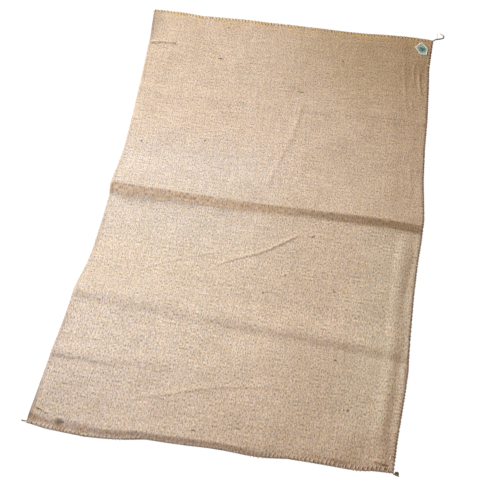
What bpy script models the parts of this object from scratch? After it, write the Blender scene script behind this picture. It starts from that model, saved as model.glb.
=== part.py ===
"""An empty jute sack lying flat on the ground, modelled in metres with +Z up.

One panel of hessian is folded double at the left edge. Its two layers are whipped together with twine
along the right side and along the bottom, and the far end is the open mouth. The sack has been stored
folded in quarters, so its creases still stand up from the ground.

All places are given in the sack's own plan: x runs across it, from the folded edge on the left to the
side seam on the right, and y runs up it, from the bottom seam to the mouth, with the middle crease near
y = 0. One empty carries every piece and brings the middle of the sack over the world's origin.
"""

import math
from collections import namedtuple

import bpy
import numpy as np
from mathutils import Vector

# Driving sizes
SACK_WIDTH = 0.600  # across one layer, fold to side seam
BOTTOM_LINE = -0.5195  # nominal y of the cloth's bottom edge
MOUTH_LINE = 0.5220  # nominal y of the cloth's mouth edge
CLOTH = 0.0012  # thickness of the hessian
POCKET = 0.0066  # height of the air between the layers, well inside the edges
SEAM_GAP = 0.0004  # the air between the two layers where they are sewn
CLEARANCE = 0.0003  # between neighbouring pieces
SLACK = 0.0001  # allowed on top of it where a face is curved or bent

# Twine
SEAM_BITE = 0.005  # how far a whipped seam reaches in over the cloth
SEAM_WALL = 0.0008  # thickness of the band of stitches
SEAM_STAND = CLEARANCE + SLACK + SEAM_WALL / 2  # from the cloth's face to the middle of that band
SEAM_LIFT = SEAM_STAND + SEAM_WALL / 2  # how far a seam that lies on the ground lifts the cloth
BAND_POINTS = 8  # points of the line that the band follows round the cloth's edges
TWINE = 0.0022  # diameter of the seam's loose ends
FOLD_MARGIN = 0.0025  # the bottom seam starts this far from the fold

# The pocket closes towards each seam partly over the whole of its margin and partly in a step. The step
# starts where the flat rim beside the seam ends, and beside the side seam it is only in the lower half.
SIDE_CLOSING = 0.045
BOTTOM_CLOSING = 0.038
SIDE_RIM = 0.010
SIDE_STEP = 0.018
SIDE_STEP_SHARE = 0.38
BOTTOM_RIM = 0.0065
BOTTOM_STEP = 0.010
BOTTOM_STEP_SHARE = 0.7

# Place of the empty that carries the sack: the middle of the sack's box in its own plan, reversed
CENTRE_SHIFT = (0.00857, 0.00204)

EdgeRow = namedtuple("EdgeRow", "y left right")
EDGES = [
    EdgeRow(0.522, -0.3205, 0.2806),
    EdgeRow(0.437, -0.3102, 0.2787),
    EdgeRow(0.386, -0.3071, 0.2820),
    EdgeRow(0.289, -0.2994, 0.2865),
    EdgeRow(0.206, -0.2950, 0.2880),
    EdgeRow(0.126, -0.2903, 0.2920),
    EdgeRow(0.021, -0.2906, 0.3008),
    EdgeRow(-0.03, -0.2890, 0.3003),
    EdgeRow(-0.077, -0.2878, 0.2980),
    EdgeRow(-0.158, -0.2876, 0.2972),
    EdgeRow(-0.21, -0.2933, 0.2982),
    EdgeRow(-0.262, -0.2971, 0.2995),
    EdgeRow(-0.305, -0.2981, 0.3013),
    EdgeRow(-0.36, -0.3009, 0.3004),
    EdgeRow(-0.409, -0.3025, 0.2982),
    EdgeRow(-0.45, -0.3035, 0.2960),
    EdgeRow(-0.519, -0.3055, 0.2947),
]

# How far the mouth and the bottom edge run beyond their nominal lines
EndRow = namedtuple("EndRow", "x beyond")
MOUTH_ROWS = [
    EndRow(-0.321, 0.0000),
    EndRow(-0.257, 0.0000),
    EndRow(-0.212, -0.0043),
    EndRow(-0.125, -0.0010),
    EndRow(-0.080, -0.0030),
    EndRow(-0.020, -0.0015),
    EndRow(0.085, -0.0033),
    EndRow(0.134, -0.0022),
    EndRow(0.176, 0.0010),
    EndRow(0.235, 0.0048),
    EndRow(0.280, 0.0048),
]
BOTTOM_ROWS = [
    EndRow(-0.306, 0.0010),
    EndRow(-0.265, 0.0083),
    EndRow(-0.205, 0.0113),
    EndRow(-0.150, 0.0080),
    EndRow(-0.110, 0.0000),
    EndRow(-0.060, 0.0000),
    EndRow(0.008, -0.0024),
    EndRow(0.078, 0.0022),
    EndRow(0.123, -0.0039),
    EndRow(0.215, -0.0020),
    EndRow(0.237, -0.0008),
    EndRow(0.262, -0.0052),
    EndRow(0.299, -0.0060),
]

# The creases left by folding, as ridges right across the sack. y_left and y_right are the ends of the
# crest's line, rises its heights over the flat top layer at the left, in the middle and at the right,
# fronts the lengths of its slope towards the bottom there, back the length of its slope towards the
# mouth, under the share of the rise that the bottom layer takes, and round how blunt its crest is.
Crease = namedtuple("Crease", "y_left y_right rises fronts back under round")
CREASES = [
    Crease(0.001, 0.001, (0.0180, 0.0082, 0.0074), (0.0165, 0.0100, 0.0130), 0.110, 0.55, 0.0),
    Crease(-0.248, -0.289, (0.0042, 0.0036, 0.0050), (0.019, 0.018, 0.018), 0.055, 0.30, 1.0),
    Crease(0.271, 0.276, (0.0012, 0.0020, 0.0015), (0.022, 0.022, 0.022), 0.030, 0.0, 1.0),
    Crease(-0.380, -0.372, (0.0030, 0.0004, 0.0), (0.016, 0.016, 0.016), 0.030, 0.0, 1.0),
]
CREASE_PULL = 0.075  # a row of cloth this far from a crease no longer follows its line
FRONT_HOLLOW = 1.15  # a sharp crease's slopes: 1 is straight, and more is hollow
BACK_HOLLOW = 1.3

# The roll and the gutter beside the lower half of the side seam, as depths in from the cloth's edge
ROLL_DEPTH = 0.034
ROLL_RISE = 0.0010
GUTTER_DEPTH = 0.015
GUTTER_FALL = 0.0004
ROLL_TOP = 0.0
ROLL_BOTTOM = -0.470
ROLL_FADE = 0.050

# Slight waves of the slack top layer: the height of each, and its radians a metre across and along
Wave = namedtuple("Wave", "height across along phase")
SLACK_WAVES = [
    Wave(0.0002, 9, 14, 0.6),
    Wave(0.0002, 17, -4, 0.6),
    Wave(0.0003, 8, 27, 0.0),
]
# Waves of the seams, which lift both layers
SIDE_SEAM_WAVE = Wave(0.0003, 0, 38, 0.0)
BOTTOM_SEAM_WAVE = Wave(0.0004, 46, 0, 0.0)

# The rows of the cloth, close together where it bends most: offsets from the line of each feature
RowSpan = namedtuple("RowSpan", "line offsets")
ROW_SPANS = [
    RowSpan(BOTTOM_LINE, [0, SEAM_BITE, 0.0085, 0.0115, 0.0145, 0.018, BOTTOM_CLOSING, 0.070]),
    RowSpan(-0.3800, [-0.030, -0.008, 0, 0.014, 0.030]),
    RowSpan(-0.2685, [-0.019, -0.009, 0, 0.016, 0.035, 0.055]),
    RowSpan(-0.1150, [-0.035, 0, 0.045]),
    RowSpan(0.0010, [-0.036, -0.017, -0.011, -0.005, 0, 0.012, 0.028, 0.050, 0.078, 0.110]),
    RowSpan(0.2000, [-0.045, 0]),
    RowSpan(0.2735, [-0.022, 0, 0.030]),
    RowSpan(0.4300, [-0.065, 0, 0.050]),
    RowSpan(MOUTH_LINE, [-0.016, 0]),
]
# The columns of one layer, as depths in from the side seam's edge: close together beside the seam,
# then even steps to the fold
SEAM_COLUMNS = [0, SEAM_BITE, SIDE_RIM, 0.016, 0.022, 0.028, 0.036, SIDE_CLOSING]
OPEN_COLUMNS = 11
OPEN_START = 0.085
OPEN_END = 0.580
FOLD_STEPS = 4  # flats in the round of the fold

# How far from the mouth and from the bottom their uneven lines are still followed
END_FADE = 0.120

# The label: its free corners, and the length of the edge that is sewn in beside the side seam
LABEL_CORNERS = [(0.2580, 0.5160), (0.2445, 0.4955), (0.2580, 0.4765)]
LABEL_SEWN_EDGE = (0.4765, 0.4990)
LABEL_THICKNESS = 0.0010

# The loose end of the side seam's twine, as it lies on the ground beside the mouth
TAIL_ROUTE = [
    (0.2808, 0.5278, 0.0025),
    (0.2843, 0.5325, 0.0020),
    (0.2895, 0.5362, 0.0012),
    (0.2950, 0.5382, 0.0011),
    (0.2995, 0.5408, 0.0011),
    (0.3020, 0.5447, 0.0011),
    (0.3008, 0.5495, 0.0011),
    (0.2968, 0.5530, 0.0011),
    (0.2928, 0.5555, 0.0011),
]
STUB_ROUTE = [(-0.3058, -0.5181, 0.0021), (-0.3098, -0.5180, 0.0014), (-0.3140, -0.5172, 0.0011)]
KNOT_PLACE = (0.2998, -0.5138, 0.0032)
KNOT_SIZE = (0.0078, 0.0084, 0.0062)


def smooth(share):
    """Eases from 0 to 1 as the share goes from 0 to 1, and stays there beyond."""
    share = min(1.0, max(0.0, share))
    return share * share * (3 - 2 * share)


def ramp(share):
    return min(1.0, max(0.0, share))


def left_edge(y):
    return float(np.interp(-y, [-row.y for row in EDGES], [row.left for row in EDGES]))


def right_edge(y):
    return float(np.interp(-y, [-row.y for row in EDGES], [row.right for row in EDGES]))


def beyond(rows, x):
    return float(np.interp(x, [row.x for row in rows], [row.beyond for row in rows]))


def crease_line(crease, x):
    """y of the crest at x."""
    share = (x + SACK_WIDTH / 2) / SACK_WIDTH
    return crease.y_left + (crease.y_right - crease.y_left) * share


def crease_rise(crease, x, y):
    """Height of the top layer over its flat level at (x, y) that one crease gives."""
    half = SACK_WIDTH / 2
    crest = float(np.interp(x, [-half, 0, half], crease.rises))
    front = float(np.interp(x, [-half, 0, half], crease.fronts))
    off = y - crease_line(crease, x)
    away = off / crease.back if off > 0 else -off / front
    if away >= 1:
        return 0.0
    sharp = (1 - away) ** (BACK_HOLLOW if off > 0 else FRONT_HOLLOW)
    return crest * (crease.round * smooth(1 - away) + (1 - crease.round) * sharp)


def creases_at(x, y):
    """The rise of the top layer and of the bottom layer."""
    rises = [crease_rise(crease, x, y) for crease in CREASES]
    # In the side seam the two layers are held together, so both rise alike.
    held = smooth(1 - (right_edge(y) - x) / SIDE_CLOSING)
    shares = [crease.under + (1 - crease.under) * held for crease in CREASES]
    return sum(rises), sum(rise * share for rise, share in zip(rises, shares))


def roll_at(depth, y):
    """The long roll beside the side seam, and the gutter between them."""
    along = smooth((ROLL_TOP - y) / ROLL_FADE) * smooth((y - ROLL_BOTTOM) / ROLL_FADE)
    roll = ROLL_RISE * smooth(1 - abs(depth - ROLL_DEPTH) / (ROLL_DEPTH - GUTTER_DEPTH))
    gutter = GUTTER_FALL * smooth(1 - abs(depth - GUTTER_DEPTH) / (GUTTER_DEPTH - SEAM_BITE))
    return along * (roll - gutter)


def side_open(depth, y):
    """How far the pocket has opened at a depth in from the side seam's edge, from 0 to 1."""
    stepped = SIDE_STEP_SHARE * smooth((ROLL_TOP - y) / ROLL_FADE)
    step = smooth((depth - SIDE_RIM) / SIDE_STEP)
    return stepped * step + (1 - stepped) * ramp(depth / SIDE_CLOSING)


def bottom_open(height):
    """How far the pocket has opened at a height over the bottom edge, from 0 to 1."""
    step = smooth((height - BOTTOM_RIM) / BOTTOM_STEP)
    return BOTTOM_STEP_SHARE * step + (1 - BOTTOM_STEP_SHARE) * ramp(height / BOTTOM_CLOSING)


def wave_at(wave, x, y):
    return wave.height * math.sin(wave.across * x + wave.along * y + wave.phase)


def seam_lift(x, y, depth):
    """How far the bottom layer stands off the ground beside the seams, which lie under it."""
    side = ramp(1 - (depth - SEAM_BITE) / (SIDE_CLOSING - SEAM_BITE))
    height = y - BOTTOM_LINE
    bottom = ramp(1 - (height - SEAM_BITE) / (BOTTOM_CLOSING - SEAM_BITE))
    side_wave = SIDE_SEAM_WAVE.height + wave_at(SIDE_SEAM_WAVE, x, y)
    bottom_wave = BOTTOM_SEAM_WAVE.height + wave_at(BOTTOM_SEAM_WAVE, x, y)
    return SEAM_LIFT * max(side, bottom) + side_wave * side + bottom_wave * bottom


def cloth_point(depth, row, layer):
    """A point of the middle of the cloth.

    depth is the distance in from the side seam's edge, row the nominal y, and layer 0 is the
    bottom layer and 1 the top one.
    """
    left, right = left_edge(row), right_edge(row)
    x = right - (right - left) * depth / SACK_WIDTH
    near_bottom = smooth(1 - (row - BOTTOM_LINE - BOTTOM_CLOSING) / END_FADE)
    near_mouth = smooth(1 - (MOUTH_LINE - row) / END_FADE)
    y = row + near_mouth * beyond(MOUTH_ROWS, x) - near_bottom * beyond(BOTTOM_ROWS, x)
    for crease in CREASES:
        line = (crease.y_left + crease.y_right) / 2
        y += (crease_line(crease, x) - line) * smooth(1 - abs(row - line) / CREASE_PULL)
    top_rise, bottom_rise = creases_at(x, y)
    z = CLOTH / 2 + seam_lift(x, row, depth) + bottom_rise
    if layer:
        bottom_share = bottom_open(row - BOTTOM_LINE)
        open_share = side_open(depth, y) * bottom_share
        slack = sum(wave_at(wave, x, y) for wave in SLACK_WAVES)
        z += sewn_step(x, y) + (POCKET - SEAM_GAP + slack) * open_share
        z += top_rise - bottom_rise + bottom_share * roll_at(depth, y)
    return Vector((x, y, z))


def sewn_step(x, y):
    """The upright distance between the middles of two sewn layers.

    They lie a cloth's thickness apart across their slope, and so more than that where it is steep.
    """
    reach = 0.001
    slope = (creases_at(x, y + reach)[1] - creases_at(x, y - reach)[1]) / (2 * reach)
    return (CLOTH + SEAM_GAP) * math.hypot(1, slope)


def row_lines():
    """Nominal y of each row of the cloth, from the bottom to the mouth."""
    return [span.line + offset for span in ROW_SPANS for offset in span.offsets]


def column_depths():
    """Depth of each column of one layer, from the side seam to the fold."""
    return SEAM_COLUMNS + list(np.linspace(OPEN_START, OPEN_END, OPEN_COLUMNS))


def fold_point(row, step):
    """A point of the round at the folded edge, from the bottom layer over to the top one."""
    low = cloth_point(SACK_WIDTH, row, 0)
    high = cloth_point(SACK_WIDTH, row, 1)
    radius = (high.z - low.z) / 2
    angle = math.pi * step / FOLD_STEPS
    centre_x = left_edge(row) + CLOTH / 2 + radius
    slip = (high.y - low.y) * step / FOLD_STEPS
    return Vector(
        (
            centre_x - radius * math.sin(angle),
            low.y + slip,
            low.z + radius * (1 - math.cos(angle)),
        )
    )


def new_material(name, colour, roughness):
    material = bpy.data.materials.new(name)
    material.use_nodes = True
    shader = material.node_tree.nodes["Principled BSDF"]
    shader.inputs["Base Color"].default_value = (*colour, 1)
    shader.inputs["Roughness"].default_value = roughness
    shader.inputs["Metallic"].default_value = 0
    return material


def dress(piece, name, material, collection, carrier):
    """Names a piece, gives it its material, and hangs it on the sack's empty."""
    piece.name = name
    piece.data.name = name
    piece.data.materials.clear()
    piece.data.materials.append(material)
    for old in list(piece.users_collection):
        old.objects.unlink(piece)
    collection.objects.link(piece)
    piece.parent = carrier
    return piece


def laid_grid(place, columns, rows):
    """A grid of columns by rows whose vertex (i, j) lies at place(i, j)."""
    bpy.ops.mesh.primitive_grid_add(x_subdivisions=columns - 1, y_subdivisions=rows - 1, size=1)
    piece = bpy.context.object
    for vertex in piece.data.vertices:
        i = round((vertex.co.x + 0.5) * (columns - 1))
        j = round((vertex.co.y + 0.5) * (rows - 1))
        vertex.co = place(i, j)
    piece.data.shade_smooth()
    return piece


def thicken(piece, thickness):
    solidify = piece.modifiers.new("thickness", "SOLIDIFY")
    solidify.thickness = thickness
    solidify.offset = 0
    solidify.use_even_offset = True


def make_cloth():
    """The whole panel: bottom layer from the seam to the fold, the fold, and the top layer back."""
    rows = row_lines()
    depths = column_depths()
    around = (
        [(depth, 0) for depth in depths]
        + [(None, step) for step in range(FOLD_STEPS + 1)]
        + [(depth, 1) for depth in reversed(depths)]
    )

    def place(i, j):
        depth, part = around[i]
        if depth is None:
            return fold_point(rows[j], part)
        return cloth_point(depth, rows[j], part)

    piece = laid_grid(place, len(around), len(rows))
    thicken(piece, CLOTH)
    return piece


def upright_offsets(line):
    """For each point of a line, the vector that moves it a unit off the line, upwards.

    Where the line bends, the vector is the mitre of the two stretches, so the moved line stays a
    unit away from both.
    """
    up = Vector((0, 0, 1))
    normals = []
    for start, end in zip(line, line[1:]):
        along = (end - start).normalized()
        normals.append((up - along * up.dot(along)).normalized())
    pairs = zip([normals[0]] + normals, normals + [normals[-1]])
    return [(before + after) / (1 + before.dot(after)) for before, after in pairs]


def band_section(edges, inners, offset, out):
    """The middle line of a whipped seam round two cloth edges, as BAND_POINTS points.

    edges holds the edges of the bottom and the top layer, inners the same layers a bite further in,
    offset moves a point a unit off the cloth's face, and out points away from the cloth.
    """
    face = offset * (CLOTH / 2)
    rise = offset * (CLOTH / 2 + SEAM_STAND)
    side = out * SEAM_STAND
    corner = math.sqrt(0.5) * SEAM_STAND
    return [
        inners[0] - rise,
        edges[0] - rise,
        edges[0] - face + out * corner - offset * corner,
        edges[0] - face + side,
        edges[1] + face + side,
        edges[1] + face + out * corner + offset * corner,
        edges[1] + rise,
        inners[1] + rise,
    ]


def make_side_seam():
    rows = row_lines()
    edges = [[cloth_point(0, row, layer) for layer in (0, 1)] for row in rows]
    inners = [[cloth_point(SEAM_BITE, row, layer) for layer in (0, 1)] for row in rows]
    offsets = upright_offsets([low for low, _ in edges])
    sections = [
        band_section(edge, inner, offset, Vector((1, 0, 0)))
        for edge, inner, offset in zip(edges, inners, offsets)
    ]
    piece = laid_grid(lambda i, j: sections[j][i], BAND_POINTS, len(rows))
    thicken(piece, SEAM_WALL)
    return piece


def make_bottom_seam():
    """The bottom seam, from the foot of the fold to just short of the side seam."""
    start = SACK_WIDTH - FOLD_MARGIN
    end = SEAM_BITE + CLEARANCE
    between = [depth for depth in reversed(column_depths()) if end < depth < start]
    depths = [start] + between + [end]
    inner_row = BOTTOM_LINE + SEAM_BITE
    edges = [[cloth_point(depth, BOTTOM_LINE, layer) for layer in (0, 1)] for depth in depths]
    inners = [[cloth_point(depth, inner_row, layer) for layer in (0, 1)] for depth in depths]
    offsets = upright_offsets([low for low, _ in edges])
    sections = [
        band_section(edge, inner, offset, Vector((0, -1, 0)))
        for edge, inner, offset in zip(edges, inners, offsets)
    ]
    piece = laid_grid(lambda i, j: sections[i][j], len(depths), BAND_POINTS)
    thicken(piece, SEAM_WALL)
    return piece


def make_label():
    """A flat five-sided label, tilted with the cloth that falls to the side seam under it."""
    sewn = [(right_edge(y) - SEAM_BITE - CLEARANCE - SLACK, y) for y in LABEL_SEWN_EDGE]
    corners = LABEL_CORNERS + sewn
    middle_x = sum(x for x, _ in corners) / len(corners)
    middle_y = sum(y for _, y in corners) / len(corners)
    curve = bpy.data.curves.new("label", "CURVE")
    curve.dimensions = "2D"
    curve.fill_mode = "BOTH"
    curve.extrude = LABEL_THICKNESS / 2
    spline = curve.splines.new("POLY")
    spline.points.add(len(corners) - 1)
    for point, (x, y) in zip(spline.points, corners):
        point.co = (x - middle_x, y - middle_y, 0, 1)
    spline.use_cyclic_u = True
    outer = cloth_point(SEAM_BITE, middle_y, 1)
    inner = cloth_point(SIDE_CLOSING, middle_y, 1)
    tilt = math.atan2(inner.z - outer.z, outer.x - inner.x)
    share = (outer.x - middle_x) / (outer.x - inner.x)
    stand = CLOTH / 2 + CLEARANCE + SLACK + LABEL_THICKNESS / 2
    piece = bpy.data.objects.new("label", curve)
    bpy.context.scene.collection.objects.link(piece)
    piece.location = (middle_x, middle_y, outer.z + (inner.z - outer.z) * share + stand)
    piece.rotation_euler = (0, tilt, 0)
    return piece


def through(route, spacing):
    """Points about a spacing apart on a smooth curve through the route's own points."""
    fixed = [Vector(point) for point in route]
    ends = [fixed[0] * 2 - fixed[1]] + fixed + [fixed[-1] * 2 - fixed[-2]]
    fine = []
    for before, start, end, after in zip(ends, ends[1:], ends[2:], ends[3:]):
        for k in range(20):
            t = k / 20
            fine.append(
                (
                    start * 2
                    + (end - before) * t
                    + (before * 2 - start * 5 + end * 4 - after) * t**2
                    + (start * 3 - before - end * 3 + after) * t**3
                )
                / 2
            )
    fine.append(fixed[-1])
    steps = [0.0]
    for a, b in zip(fine, fine[1:]):
        steps.append(steps[-1] + (b - a).length)
    count = max(2, round(steps[-1] / spacing))
    marks = [steps[-1] * k / count for k in range(count + 1)]
    axes = [np.interp(marks, steps, [point[axis] for point in fine]) for axis in range(3)]
    return [Vector(place) for place in zip(*axes)]


def make_twine_end(route):
    """A loose end of twine, as a plain tube along its route."""
    curve = bpy.data.curves.new("twine", "CURVE")
    curve.dimensions = "3D"
    curve.bevel_depth = TWINE / 2
    curve.bevel_resolution = 2
    curve.use_fill_caps = True
    places = through(route, 2 * TWINE)
    spline = curve.splines.new("POLY")
    spline.points.add(len(places) - 1)
    for point, place in zip(spline.points, places):
        point.co = (*place, 1)
    piece = bpy.data.objects.new("twine", curve)
    bpy.context.scene.collection.objects.link(piece)
    return piece


def make_knot():
    """The knot that ends the bottom seam's twine: a lump with a waist where its turns cross."""
    bpy.ops.mesh.primitive_uv_sphere_add(segments=16, ring_count=10, radius=0.5)
    piece = bpy.context.object
    for vertex in piece.data.vertices:
        turn = math.atan2(vertex.co.y, vertex.co.x)
        pinch = 1 - 0.12 * math.cos(2 * turn + 0.8)
        vertex.co = Vector((vertex.co.x * pinch, vertex.co.y * pinch, vertex.co.z))
        vertex.co = Vector(value * size for value, size in zip(vertex.co, KNOT_SIZE))
    piece.location = KNOT_PLACE
    piece.data.shade_smooth()
    return piece


def main():
    for old in list(bpy.data.objects):
        bpy.data.objects.remove(old)

    sack = bpy.data.collections.new("jute_sack")
    bpy.context.scene.collection.children.link(sack)
    carrier = bpy.data.objects.new("sack_origin", None)
    sack.objects.link(carrier)
    carrier.location = (*CENTRE_SHIFT, 0)

    hessian = new_material("hessian", (0.56, 0.42, 0.29), 0.95)
    seam_twine = new_material("seam_twine", (0.62, 0.50, 0.35), 0.9)
    loose_twine = new_material("loose_twine", (0.52, 0.42, 0.28), 0.9)
    label_cloth = new_material("label_cloth", (0.74, 0.78, 0.74), 0.7)

    dress(make_cloth(), "sack_cloth", hessian, sack, carrier)
    dress(make_side_seam(), "side_seam", seam_twine, sack, carrier)
    dress(make_bottom_seam(), "bottom_seam", seam_twine, sack, carrier)
    dress(make_label(), "label", label_cloth, sack, carrier)
    dress(make_twine_end(TAIL_ROUTE), "seam_tail", loose_twine, sack, carrier)
    dress(make_twine_end(STUB_ROUTE), "bottom_stub", loose_twine, sack, carrier)
    dress(make_knot(), "bottom_knot", loose_twine, sack, carrier)


main()
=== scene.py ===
"""An empty jute sack lying flat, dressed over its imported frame.

The cloth is one panel of hessian, folded double at the left edge, so every point of it has a place on
the flat panel: across runs from the bottom layer's side edge, over the fold, to the top layer's side
edge, and row runs from the bottom seam to the mouth. lay() says where such a point lies. The places in
the tables are in metres, in the sack's own plan, as in the part's source, where they aren't said to be on
the flat panel. carry() brings the plan to the frame.
"""

import math
from collections import namedtuple
from functools import reduce

import bmesh
import bpy
import numpy as np
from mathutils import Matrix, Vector


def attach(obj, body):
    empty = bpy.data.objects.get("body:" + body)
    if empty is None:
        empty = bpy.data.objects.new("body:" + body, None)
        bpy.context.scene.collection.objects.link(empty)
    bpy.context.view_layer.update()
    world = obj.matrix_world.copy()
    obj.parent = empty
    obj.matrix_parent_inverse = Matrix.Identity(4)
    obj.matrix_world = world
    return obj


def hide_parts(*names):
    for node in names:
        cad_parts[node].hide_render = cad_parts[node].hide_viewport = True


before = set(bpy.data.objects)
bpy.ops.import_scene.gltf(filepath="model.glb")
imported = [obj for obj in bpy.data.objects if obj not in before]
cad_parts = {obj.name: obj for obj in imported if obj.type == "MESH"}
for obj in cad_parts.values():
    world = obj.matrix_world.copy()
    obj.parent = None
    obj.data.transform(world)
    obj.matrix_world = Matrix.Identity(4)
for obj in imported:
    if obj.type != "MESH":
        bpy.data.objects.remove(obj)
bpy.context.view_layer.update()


def table(columns, *rows):
    """Rows whose columns have names."""
    row_kind = namedtuple("row_kind", columns)
    return [row_kind(*row) for row in rows]


# ---------------- sizes

# As in the part's source, but for the roll, two of the creases and the label's thickness.
SACK_WIDTH = 0.600
BOTTOM_LINE = -0.5195
MOUTH_LINE = 0.5220
CLOTH = 0.0012
POCKET = 0.0066
SEAM_GAP = 0.0004
SEAM_BITE = 0.005  # how far a whipped seam reaches in over the cloth
SEAM_LIFT = 0.0012
SIDE_CLOSING = 0.045
BOTTOM_CLOSING = 0.038
END_FADE = 0.120
CENTRE_SHIFT = (0.00857, 0.00204)

EDGES = table(
    "y left right",
    (-0.519, -0.3055, 0.2947),
    (-0.45, -0.3035, 0.2960),
    (-0.409, -0.3025, 0.2982),
    (-0.36, -0.3009, 0.3004),
    (-0.305, -0.2981, 0.3013),
    (-0.262, -0.2971, 0.2995),
    (-0.21, -0.2933, 0.2982),
    (-0.158, -0.2876, 0.2972),
    (-0.077, -0.2878, 0.2980),
    (-0.03, -0.2890, 0.3003),
    (0.021, -0.2906, 0.3008),
    (0.126, -0.2903, 0.2920),
    (0.206, -0.2950, 0.2880),
    (0.289, -0.2994, 0.2865),
    (0.386, -0.3071, 0.2820),
    (0.437, -0.3102, 0.2787),
    (0.522, -0.3205, 0.2806),
)

MOUTH_ROWS = table(
    "x beyond",
    (-0.321, 0.0000),
    (-0.257, 0.0000),
    (-0.212, -0.0043),
    (-0.125, -0.0010),
    (-0.080, -0.0030),
    (-0.020, -0.0015),
    (0.085, -0.0033),
    (0.134, -0.0022),
    (0.176, 0.0010),
    (0.235, 0.0048),
    (0.280, 0.0048),
)
BOTTOM_ROWS = table(
    "x beyond",
    (-0.306, 0.0010),
    (-0.265, 0.0083),
    (-0.205, 0.0113),
    (-0.150, 0.0080),
    (-0.110, 0.0000),
    (-0.060, 0.0000),
    (0.008, -0.0024),
    (0.078, 0.0022),
    (0.123, -0.0039),
    (0.215, -0.0020),
    (0.237, -0.0008),
    (0.262, -0.0052),
    (0.299, -0.0060),
)

# The first two creases have finer profiles than in the part's source. rises and fronts are in even steps
# from the fold to the side seam.
MIDDLE_RISES = (0.0180, 0.0131, 0.0082, 0.0082, 0.0074)
MIDDLE_FRONTS = (0.0165, 0.0132, 0.0095, 0.0080, 0.0085)
LOWER_RISES = (0.0046, 0.0045, 0.0033, 0.0042, 0.0054, 0.0052, 0.0036)
CREASES = table(
    "y_left y_right rises fronts back under round",
    (0.001, 0.001, MIDDLE_RISES, MIDDLE_FRONTS, 0.110, 0.55, 0.0),
    (-0.248, -0.289, LOWER_RISES, (0.019, 0.018, 0.017), 0.055, 0.30, 1.0),
    (0.271, 0.276, (0.0012, 0.0020, 0.0015), (0.022, 0.022, 0.022), 0.030, 0.0, 1.0),
    (-0.380, -0.372, (0.0030, 0.0004, 0.0), (0.016, 0.016, 0.016), 0.030, 0.0, 1.0),
)
CREASE_PULL = 0.075
FRONT_HOLLOW = 1.15
BACK_HOLLOW = 1.3

# The roll and the gutter beside the side seam. The roll is a little nearer to the seam and a little higher
# than in the part's source.
ROLL_DEPTH = 0.031
ROLL_RISE = 0.0012
GUTTER_DEPTH = 0.015
GUTTER_FALL = 0.0004
ROLL_TOP = 0.0
ROLL_BOTTOM = -0.470
ROLL_FADE = 0.050

Wave = namedtuple("Wave", "height across along phase")
SLACK_WAVES = [
    Wave(0.0002, 9, 14, 0.6),
    Wave(0.0002, 17, -4, 0.6),
    Wave(0.0003, 8, 27, 0.0),
]
SIDE_SEAM_WAVE = Wave(0.0003, 0, 38, 0.0)
BOTTOM_SEAM_WAVE = Wave(0.0004, 46, 0, 0.0)

TAIL_ROUTE = [
    (0.2808, 0.5278, 0.0025),
    (0.2843, 0.5325, 0.0020),
    (0.2895, 0.5362, 0.0012),
    (0.2950, 0.5382, 0.0011),
    (0.2995, 0.5408, 0.0011),
    (0.3020, 0.5447, 0.0011),
    (0.3008, 0.5495, 0.0011),
    (0.2968, 0.5530, 0.0011),
    (0.2928, 0.5555, 0.0011),
]
STUB_ROUTE = [(-0.3058, -0.5181, 0.0021), (-0.3098, -0.5180, 0.0014), (-0.3140, -0.5172, 0.0011)]
KNOT_PLACE = (0.2998, -0.5138, 0.0032)
TWINE = 0.0022
LABEL_CORNERS = [(0.2580, 0.5160), (0.2445, 0.4955), (0.2580, 0.4765)]
LABEL_SEWN_EDGE = (0.4765, 0.4990)

# ---------------- what only the dressed part shows

# How the top layer rises beside the bottom seam and beside the side seam: a step that starts so far in
# from the edge, its width and its share of the pocket's height, at places along the seam. The rest of the
# rise is spread over the slow rise.
BOTTOM_RIM_ROWS = table(
    "place start width share",
    (-0.300, 0.006, 0.012, 0.60),
    (-0.235, 0.004, 0.017, 0.90),
    (-0.208, 0.004, 0.017, 0.90),
    (-0.182, 0.006, 0.008, 0.70),
    (-0.129, 0.006, 0.007, 0.90),
    (-0.105, 0.002, 0.008, 0.75),
    (-0.078, 0.004, 0.005, 0.65),
    (0.017, 0.004, 0.005, 0.70),
    (0.049, 0.003, 0.005, 0.80),
    (0.082, 0.001, 0.008, 0.35),
    (0.114, 0.002, 0.010, 0.12),
    (0.178, 0.004, 0.010, 0.15),
    (0.210, 0.006, 0.005, 0.65),
    (0.242, 0.002, 0.008, 0.10),
    (0.266, 0.000, 0.008, 0.30),
    (0.286, 0.003, 0.012, 0.60),
)
SIDE_RIM_ROWS = table(
    "place start width share",
    (-0.520, 0.013, 0.016, 0.28),
    (-0.455, 0.012, 0.016, 0.30),
    (-0.377, 0.013, 0.013, 0.21),
    (-0.337, 0.013, 0.012, 0.10),
    (-0.296, 0.008, 0.016, 0.15),
    (-0.255, 0.006, 0.010, 0.12),
    (-0.212, 0.010, 0.005, 0.05),
    (-0.168, 0.017, 0.006, 0.05),
    (-0.123, 0.011, 0.010, 0.22),
    (-0.076, 0.008, 0.008, 0.42),
    (-0.030, 0.004, 0.020, 0.00),
)
BOTTOM_SLOW_RISE = 0.070
SIDE_SLOW_RISE = 0.130
MOUTH_SIDE_SLOW_RISE = 0.072
SLOW_CURVE = 1.6

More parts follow.
